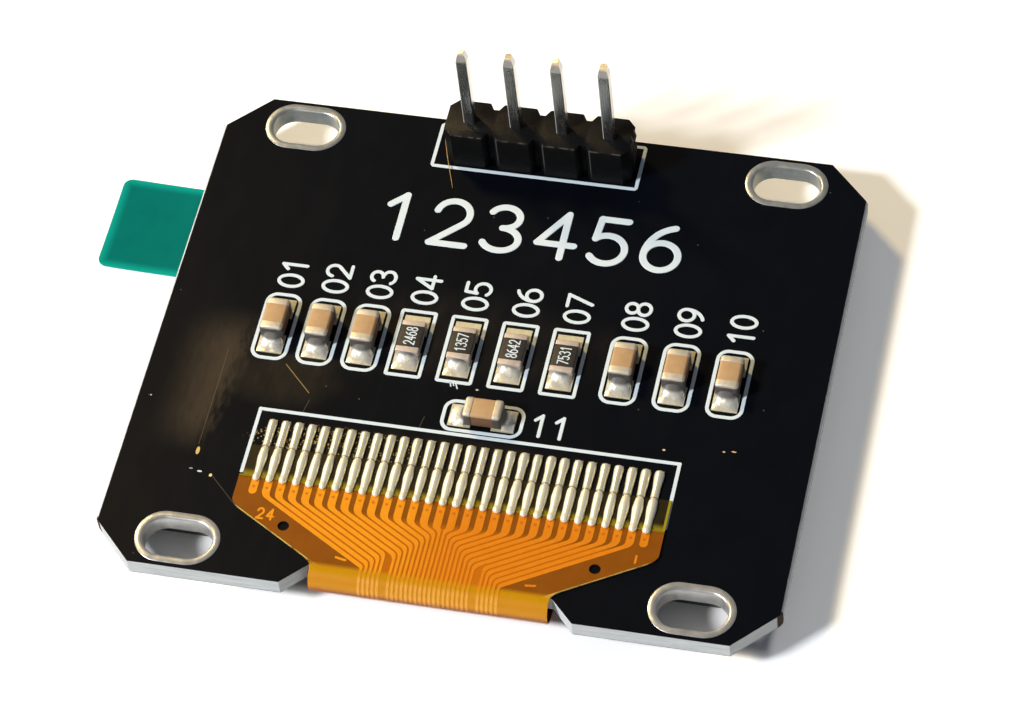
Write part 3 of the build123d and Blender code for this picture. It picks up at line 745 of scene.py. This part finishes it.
pin_metal = Finish("pin_metal")
drawn = pin_metal.noise(3, 4, (6, 6, 0.35))
below_top = pin_metal.z - pin_top
bare = below_top.rise(-0.36, -0.24)
# Each pin's left front edge is made less metallic so that it shows as a light line: a painted highlight. The
# tapered part below the bare tip is made less metallic too.
off_middle = ((pin_metal.x / pin_pitch).fraction() - 0.5) * pin_pitch
painted_edge_highlight = off_middle.rise(-0.22, -0.27) * (pin_metal.y - pin_middle_y).rise(-0.2, -0.27)
less_metallic_edge_and_taper = painted_edge_highlight.most(below_top.rise(-0.86, -0.76) * 0.5) * (1 - bare)
drawn_tone = pin_metal.mix(drawn, (176, 175, 174), (232, 230, 226))
pin_metal.surface(pin_metal.mix(bare, drawn_tone, (226, 210, 174)), 0.1 + 0.24 * drawn, 0.006 * drawn,
                  Metallic=1 - 0.6 * less_metallic_edge_and_taper.most(0.7 * bare))
for number, slant, short in ((1, 0.5, 0.14), (2, 0.2, 0.09), (3, 0.6, 0.02), (4, 0.3, 0.0)):
    wire = pin_rings(*extent(f"header_pin_{number}"), slant, short)
    fit(skin(f"header_pin_{number}_wire", wire, sharp=9), pin_metal, "pin_metal", f"header_pin_{number}")
dress(solder, "header_joints")

# Flex circuit: amber polyimide film with etched copper and an amber coverlay over it. It lies on the board,
# fans in to a neck and is bent round the notch to the ledge of the glass.
film_low, film_high = extent("flex_film")
film_half, film_end = film_high[0], film_high[1]
cover_end = extent("flex_coverlay")[1][1]
flex_end = extent("flex_bond")[1][1] + 0.1
film_thick, trace_thick, cover_lift, cover_thick = 0.06, 0.016, 0.03, 0.04
bare_step = 0.16
bright_edge = 11.02
bend_y = -14.02
bend_front = (-14.2, -14.6)
inner_radius = bend_y - film_low[1] - film_thick
bend_z = film_high[2] - film_thick - inner_radius
film_top = bend_z + inner_radius + film_thick
neck_y, neck_half = -13.85, 6.15
shoulder_y = -11.015
hole = np.array([8.05, -12.0])
hole_radius = 0.3


def bend_stations(start, end, radius, step=0.04):
    """Places along the film at a radius, as y and z: level on the board, a half turn, and back level."""
    level = np.arange(start, bend_y, -step)
    turn = np.radians(np.linspace(0, 180, 33))
    back = np.linspace(bend_y, end, 12)[1:]
    y = np.concatenate([level, bend_y - radius * np.sin(turn), back])
    upper, lower = np.full(level.shape, bend_z + radius), np.full(back.shape, bend_z - radius)
    return y, np.concatenate([upper, bend_z + radius * np.cos(turn), lower])


def bent_bar(start, end, radius, thick):
    """Places of a bar's corners along the film, as y and z: two at the outer radius and two at the inner."""
    outer, inner = bend_stations(start, end, radius + thick), bend_stations(start, end, radius)
    return [np.stack([far, far, near, near], -1) for far, near in zip(outer, inner)]


def film_rings(start, end, radius, thick):
    """Rings of a layer of the flex: a flat bar across it at each station. Its half width is full above the
    shoulders, slants in to the neck, and is averaged over a short way so that its corners are round."""
    ys, zs = bent_bar(start, end, radius, thick)
    y, z = ys[:, 0], zs[:, 0]
    plan = np.interp(y, [neck_y, shoulder_y], [neck_half, film_half])
    plan[z < bend_z + radius + thick - 1e-6] = neck_half
    reach = 8
    span = 2 * reach + 1
    right = np.convolve(np.pad(plan, reach, mode="edge"), np.full(span, 1 / span), mode="valid")
    left = right - bare_step * (y > cover_end)
    return joined(np.stack([-left, right, right, -left], -1), ys, zs)[None]


def punched(mesh):
    """The layer with its two round holes punched through, cut by pins that are then thrown away."""
    circle = hole_radius * sweep(0, 360, 29)[:-1]
    pins = np.stack([[circle + hole * [side, 1]] * 2 for side in (-1, 1)])
    pins = raised(pins, board_top + np.array([[-1], [1]]))
    cutter, sheet = placed("punch", skin("punch", pins)), placed("sheet", mesh)
    cut = sheet.modifiers.new("punch", "BOOLEAN")
    cut.operation = "DIFFERENCE"
    cut.object = cutter
    result = bpy.data.meshes.new_from_object(sheet.evaluated_get(bpy.context.evaluated_depsgraph_get()))
    result.name = mesh.name + "_sheet"
    for thing in (cutter, sheet):
        bpy.data.objects.remove(thing)
    result.shade_smooth()
    result.set_sharp_from_angle(angle=math.radians(30))
    return result


contact_pitch = 0.7
finger_half, fan_width, neck_line = 0.21, 0.22, 0.14
neck_pitch, group_gap, group = 0.24, 0.3, 9
fan_clear, fan_stagger = 0.1, 0.04
fan_angle = math.radians(30)
fan_slope = math.tan(fan_angle)
fan_half = fan_width / 2 / math.cos(fan_angle)
traces = 14
order = np.arange(traces)
finger_x = contact_pitch * (order + 0.5)
neck_x = neck_pitch / 2 + neck_pitch * order + group_gap * (order >= group)
finger_end = neck_y + fan_clear + (finger_x[-1] - neck_x[-1]) * fan_slope - fan_stagger * (order[-1] - order)
stub_end = finger_end[-1]

polyimide = Finish("flex_polyimide")
cloudy = polyimide.noise(1.2, 4)
slope = (film_half - neck_half) / (shoulder_y - neck_y)
inside = neck_half + (polyimide.y - neck_y) * slope - abs(polyimide.x)
# A pale yellow line runs along the film's slanted edges.
pale_edge_line = inside.rise(0.12, 0.05) * (polyimide.y - shoulder_y).rise(0.1, -0.1)
pale_edge_line = pale_edge_line * polyimide.noise(1.4).rise(0.35, 0.55)
film_tone = polyimide.mix(cloudy, (96, 52, 6), (126, 74, 14))
fan_edge = neck_x[-1] + 0.1 + (polyimide.y - neck_y - fan_clear) / fan_slope
in_fan = (fan_edge - abs(polyimide.x)).rise(0.0, 0.12) * polyimide.y.rise(stub_end - 0.1, stub_end - 0.7)
gap_tone = polyimide.mix(polyimide.x.rise(-2, 2), (182, 102, 4), (198, 112, 6))
film_tone = polyimide.mix(in_fan, film_tone, gap_tone)
film_tone = polyimide.mix(pale_edge_line, film_tone, (206, 184, 96))
above = polyimide.y - cover_end
bare_tone = polyimide.mix(cloudy, (26, 21, 8), (42, 34, 11))
bare_tone = polyimide.mix(above.rise(0.05, 0.5), (134, 116, 18), bare_tone)
bare_tone = polyimide.mix(abs(polyimide.x - bright_edge).rise(0.11, 0.06), bare_tone, (150, 134, 20))
film_tone = polyimide.mix(above.rise(0.0, 0.05), film_tone, bare_tone)
# The film at the neck, over the notch, is painted bright yellow: painted light shining through it from below.
backlit_neck_tone = polyimide.mix(cloudy, (188, 144, 2), (206, 160, 8))


def bent_tone(finish, level, neck, front, under):
    """A tone for each stretch of the flex: level on the board, at the neck, round the front of the bend as a
    painted highlight, and under it as painted shade.
    """
    on_board = finish.y.rise(neck_y - 0.25, neck_y + 0.1) * finish.z.rise(bend_z, bend_z + 0.2)
    bend = finish.mix(finish.y.rise(*bend_front), neck, front)
    bend = finish.mix(finish.z.rise(bend_z + 0.25, bend_z - 0.25), bend, under)
    return finish.mix(on_board, bend, level)


film_tone = bent_tone(polyimide, film_tone, backlit_neck_tone, (208, 150, 34), (128, 62, 16))
polyimide.surface(film_tone, 0.3 + 0.15 * cloudy, 0.004 * cloudy, Specular_IOR_Level=0.2)
film_mesh = skin("flex_base", film_rings(film_end, flex_end, inner_radius, film_thick), sharp=50)
fit(punched(film_mesh), polyimide, "flex_polyimide", "flex_film")


def rounded(path, cut):
    """The same paths with a curve at each inner corner, between the points cut away from it on both sides. The
    squares of the way and of the way left blend those points, and twice their product the corner."""
    corner, before, after = path[:, 1:-1], path[:, :-2] - path[:, 1:-1], path[:, 2:] - path[:, 1:-1]
    reach_before, reach_after = (np.linalg.norm(run, axis=-1, keepdims=True) for run in (before, after))
    cut = np.minimum(cut, 0.45 * np.minimum(reach_before, reach_after))
    start, end = corner + before * cut / reach_before, corner + after * cut / reach_after
    way = np.linspace(0, 1, 7)[:, None]
    curve = (1 - way) ** 2 * start[:, :, None] + way ** 2 * end[:, :, None]
    curve = curve + 2 * way * (1 - way) * corner[:, :, None]
    return np.concatenate([path[:, :1], curve.reshape(len(path), -1, 2), path[:, -1:]], 1)


def trace_rings():
    """Rings of the traces of one side: a finger, a slanted run and a line down the neck and round the bend.
    The bar at each station reaches from the trace's outer to its inner edge; both turn at mitred corners."""
    edges = []
    for side, cut in ((1, 0.3), (-1, 0.22)):
        turn = finger_end + side * (finger_half * fan_slope - fan_half)
        neck = finger_end - (finger_x - neck_x - side * neck_line / 2) * fan_slope - side * fan_half
        x = np.stack([finger_x + side * finger_half] * 2 + [neck_x + side * neck_line / 2] * 2, -1)
        y = np.stack([np.full(traces, film_end), turn, neck, np.full(traces, bend_y)], -1)
        edges.append(rounded(np.stack([x, y], -1), cut))
    plan = np.stack(edges, 2)[:, :, [0, 1, 1, 0]]
    level = raised(plan, film_top + trace_thick * np.array([1, 1, 0, 0]))
    bar = neck_x[:, None, None] + np.array([1, -1, -1, 1]) * neck_line / 2
    bent = bent_bar(bend_y + 0.01, flex_end, inner_radius + film_thick, trace_thick)
    return np.concatenate([level, joined(bar, *(part[2:] for part in bent))], 1)


def stub_rings():
    """Rings of the last finger at one side, which ends round and goes nowhere."""
    narrow, ahead = sweep(0, 90, 9).T
    way = np.concatenate([[film_end], stub_end + finger_half * (1 - ahead)])
    half = np.concatenate([[finger_half], finger_half * narrow])
    x = contact_pitch * (traces + 0.5) + half[:, None] * np.array([1, -1, -1, 1])
    return joined(x, way[:, None], film_top + trace_thick * np.array([1, 1, 0, 0]))[None]


def both_sides(rings):
    """The rings of the right side and, mirrored, of the left one."""
    return np.concatenate([rings, rings * [-1, 1, 1]])


copper = Finish("copper_traces")
etched = copper.noise(2.4, 4)
tinned = (copper.y - cover_end).rise(-0.05, 0.05)
across_finger = ((copper.x / contact_pitch).fraction() - 0.5) * contact_pitch
# A small dark spot near the top of each finger is the painted shade of a dimple.
painted_dimple_shade = (across_finger ** 2 + (copper.y - cover_end + 0.62) ** 2).rise(0.012, 0.002)
# The fan's copper is painted lighter at the left and darker at the right: painted light.
lit_copper = copper.mix(etched, (246, 158, 8), (255, 182, 22))
shaded_copper = copper.mix(etched, (226, 134, 4), (240, 152, 8))
fan_copper = copper.mix(copper.x.rise(-3, 1), lit_copper, shaded_copper)
fan_copper = copper.mix(painted_dimple_shade * 0.7, fan_copper, (176, 92, 0))
fan_copper = copper.mix(tinned, fan_copper, (116, 104, 66))
trace_tone = bent_tone(copper, fan_copper, (222, 160, 10), (240, 182, 66), (150, 80, 26))
copper.surface(trace_tone, 0.34 + 0.14 * etched, 0.006 * etched, Metallic=0.1)
fit(skin("flex_copper", both_sides(trace_rings())), copper, "copper_traces", "flex_traces")
fit(skin("flex_stubs", both_sides(stub_rings())), copper, "copper_traces")
etched_marks = number_rings("24", (-9.55, -11.72), (0.3, 0.6), 0.52, 0.12, film_top, trace_thick)
for ends in ((-4.95, -13.4, -4.45, -13.5), (4.85, -13.5, 5.3, -13.45), (9.95, -11.3, 9.95, -10.9)):
    etched_marks.append(pen_rings(straight(ends[:2], ends[2:]), 0.13, film_top, film_top + trace_thick))
fit(skin("flex_marks", np.stack(etched_marks)), copper, "copper_traces")

cover_front = -12.15
coverlay = Finish("flex_coverlay")
sheen = coverlay.noise(1.5, 4)
lip = (coverlay.y - cover_end).rise(-0.1, -0.06)
amber = coverlay.mix(sheen, (190, 100, 0), (210, 120, 2))
coverlay.surface(coverlay.mix(lip, amber, (132, 126, 24)), 0.2 + 0.14 * sheen, 0.006 * sheen,
                 Alpha=0.12 + 0.6 * lip, Specular_IOR_Level=0.3)
cover_rings = film_rings(cover_end, cover_front, inner_radius + film_thick + cover_lift, cover_thick)
fit(punched(skin("flex_cover", cover_rings, sharp=50)), coverlay, "flex_coverlay", "flex_coverlay")

# Solder of the flex contacts: thirty beads drawn by a hot bar from the pads over the film's edge and along the
# bare fingers, so each has a waist at the edge and a rounded back.
beads = np.random.default_rng(21)
contacts = 30
contact_x = contact_pitch * (np.arange(contacts) - (contacts - 1) / 2)
bead_end = extent("contact_solder")[1][1]
bead_run = 0.3


def bead_rings():
    """Rings of the beads: a half oval on a flat base, carried from the pads' far end to the coverlay. The base
    steps up on to the film, the oval narrows at the film's edge, and both ends are rounded off."""
    way = np.linspace(0, 1, 60)
    y = bead_end + (cover_end - bead_run - bead_end) * way
    on_film = 1 / (1 + np.exp((y - film_end) / 0.06))
    on_cover = 1 / (1 + np.exp((y - cover_end - 0.06) / 0.03))
    base = pad_top + (film_top - pad_top) * on_film + (cover_lift + cover_thick) * on_cover
    waist = np.exp(-((y - film_end + 0.05) / 0.07) ** 2)
    swell = np.exp(-((y - film_end + 0.75) / 0.5) ** 2) + np.exp(-((y - bead_end + 0.4) / 0.5) ** 2)
    ends = np.minimum(1, np.minimum(way / 0.05, (1 - way) / 0.05))
    ends = np.sqrt(np.maximum(1 - (1 - ends) ** 2, 0.02))
    knots = beads.uniform(-1, 1, (contacts, 9))
    ripple = np.stack([np.interp(way, np.linspace(0, 1, 9), row) for row in knots])
    fat = beads.uniform(0.93, 1.06, (contacts, 1))
    half = fat * ends * (0.205 + 0.04 * swell) * (1 - 0.3 * waist) * (1 + 0.09 * ripple)
    rise = fat * ends * (0.17 + 0.05 * swell) * (1 - 0.55 * waist) * (1 + 0.15 * ripple)
    aside, up = sweep(0, 180, 13).T
    x = contact_x[:, None, None] + half[..., None] * aside
    return joined(x, y[:, None], base[:, None] + rise[..., None] * up)


bead_tin = Finish("solder_beads")
bead_frost = bead_tin.noise(2.2, 3)
past_edge = bead_tin.y - film_end
over_film = past_edge.rise(0.1, -0.3)
# The bead's waist at the film's edge is painted dark: painted shade in the crease.
crease_shade = abs(past_edge + 0.04 - 0.06 * bead_tin.noise(1.5, 2)).rise(0.05, 0.015)
bead_tone = bead_tin.mix(bead_frost, (252, 242, 208), (255, 251, 228))
bead_tin.surface(bead_tin.mix(crease_shade * 0.7, bead_tone, (112, 98, 74)), 0.24 + 0.16 * bead_frost,
                 0.004 * bead_tin.noise(3, 2), Metallic=0.6 - 0.18 * over_film)
fit(skin("contact_beads", bead_rings(), sharp=60), bead_tin, "solder", "contact_solder")

# Pull tab: a strip of green film stuck on the display's protective film, which hangs out past the board's left
# edge. It is die-cut with round outer corners and curls up slightly at its free end.
tab_low, tab_high = extent("pull_tab")
tab_corner = 0.5
tab_curl, tab_dish = 0.18, 0.03


def tab_rings():
    """Rings of the strip from its free end inwards: a thin bar across it, narrower within a corner's radius of
    the free end, and lifted there by the square of the way out."""
    along, aside = tab_corner * (1 - sweep(0, 90, 9)).T
    inward = np.linspace(tab_low[0] + tab_corner, tab_high[0], 30)[1:]
    x = np.concatenate([tab_low[0] + along, inward])
    inset = np.concatenate([aside, np.zeros(len(inward))])
    half = (tab_high[1] - tab_low[1]) / 2 - inset
    out = (tab_high[0] - x) / (tab_high[0] - tab_low[0])
    across = np.linspace(-1, 1, 9)
    y = (tab_low[1] + tab_high[1]) / 2 + half[:, None] * across
    low = tab_low[2] + tab_curl * out[:, None] ** 2 + tab_dish * out[:, None] * across ** 2
    upper, lower = (joined(x[:, None], y, z) for z in (low + tab_high[2] - tab_low[2], low))
    return np.concatenate([upper, lower[:, ::-1]], 1)[None]


green = Finish("green_tab")
tint = green.noise(0.7, 4)
# The strip's free end and sides are painted lighter near their edges: a painted highlight along its rim.
rim = (green.x - tab_low[0]).least(green.y - tab_low[1]).least(tab_high[1] - green.y).rise(0.6, 0.0)
tab_tone = green.mix(tint, (0, 102, 94), (0, 114, 106))
green.surface(green.mix(rim * 0.7, tab_tone, (10, 170, 154)), 0.4 + 0.15 * tint, 0.006 * tint,
              Specular_IOR_Level=0.03)
fit(skin("tab_strip", tab_rings(), sharp=60), green, "green_tab", "pull_tab")

# Golden fibre: a stray straw-coloured hair that leans on the header and lies over its printed frame. It only
# rests on the board, fixed to nothing.
fibre_path = np.array([[-5.45, 13.9, 0.9], [-5.2, 13.0, 0.5], [-4.95, 12.2, 0.12], [-4.6, 11.3, 0.06],
                       [-4.36, 10.6, 0.05]])
fibre_radius = 0.022


def fibre_rings():
    """Rings of the fibre: a small circle along a cubic curve fitted to its points, thinner at both ends."""
    knots = np.linspace(0, 1, len(fibre_path))
    way = np.linspace(0, 1, 40)
    course = np.stack([np.polyval(np.polyfit(knots, fibre_path[:, axis], 3), way) for axis in range(3)], -1)
    turn = np.radians(np.linspace(0, 360, 8, endpoint=False))
    thin = fibre_radius * (0.3 + 0.7 * np.sqrt(np.sin(np.pi * np.clip(way, 0.02, 0.98))))
    circle = np.stack([np.cos(turn), np.zeros(len(turn)), np.sin(turn)], -1)
    return (course[:, None] + thin[:, None, None] * circle[None] + [0, 0, board_top + 0.03])[None]


straw = Finish("golden_fibre")
twist = straw.noise(3, 3)
straw.surface(straw.mix(twist, (128, 92, 44), (206, 166, 96)), 0.4 + 0.2 * twist)
fit(skin("golden_fibre", fibre_rings()), straw, "gold_plating")

# Studio: a white floor under the module, a cool lamp at the front left and a warm one at the back left, each
# with its own soft shadow, and an even pale surround. The floor glows a little to the eye, so that it stays
# white, but not in the shade under the module's front.
floor_half = 4.0
floor_corners = [(x * floor_half, y * floor_half, -0.02 * MM) for x, y in ((-1, -1), (1, -1), (1, 1), (-1, 1))]
floor_mesh = bpy.data.meshes.new("floor")
floor_mesh.from_pydata(floor_corners, [], [(0, 1, 2, 3)])
floor = placed("floor", floor_mesh)
paper = Finish("floor_paper")
kinds = ("Is Camera Ray", "Is Glossy Ray", "Is Transmission Ray")
camera_ray, glossy_ray, through_ray = (paper.node("ShaderNodeLightPath", out=kind) for kind in kinds)
under = abs(paper.x).rise(17.4, 16.8) * abs(paper.y + 11.2).rise(3.2, 2.4)
seen = camera_ray.most(glossy_ray).most(through_ray) * (1 - under)
paper_tone = paper.mix(paper.noise(0.2), (0.94, 0.94, 0.94, 1), (0.96, 0.96, 0.96, 1))
paper_glow = paper.mix(seen, (0, 0, 0, 1), (0.22, 0.22, 0.21, 1))
paper.surface(paper_tone, 0.9, Specular_IOR_Level=0.0, Emission_Color=paper_glow, Emission_Strength=1.0)
floor_mesh.materials.append(paper.holder)


def lamp(name, azimuth, elevation, power, colour, distance=0.6, size=0.1):
    """A round soft lamp that faces the module from a direction in degrees."""
    light = bpy.data.lights.new(name, "AREA")
    light.shape = "DISK"
    light.size = size
    light.energy = power
    light.color = colour
    thing = placed(name, light)
    turn, rise = math.radians(azimuth), math.radians(elevation)
    level = distance * math.cos(rise)
    thing.location = (level * math.cos(turn), level * math.sin(turn), distance * math.sin(rise))
    thing.rotation_euler = (math.pi / 2 - rise, 0, turn + math.pi / 2)


lamp("cool_lamp", -146, 39, 4.3, (0.97, 0.98, 1.0))
lamp("warm_lamp", 141, 41, 2.2, (1.0, 0.72, 0.3))

surround = Finish(bpy.data.worlds.new("surround"), "Generated", 1)
walls = surround.z.rise(0.5, -0.05)
surround_tone = surround.mix(walls, (0.09, 0.1, 0.125, 1), (0.62, 0.66, 0.72, 1))
surround.close(surround.node("ShaderNodeBackground", {}, {"Color": surround_tone}))
bpy.context.scene.world = surround.holder

camera_data = bpy.data.cameras.new("camera")
camera_data.sensor_fit = "HORIZONTAL"
camera_data.sensor_width = 36
camera_data.lens = 141.0457
camera_data.clip_start = 0.01
camera = placed("camera", camera_data)
camera.location = np.array([39.788, -115.725, 168.516]) * MM
camera.rotation_euler = np.radians([36.0417, 4.5859, 12.2795])
bpy.context.scene.camera = camera
bpy.context.scene.view_settings.view_transform = "Standard"
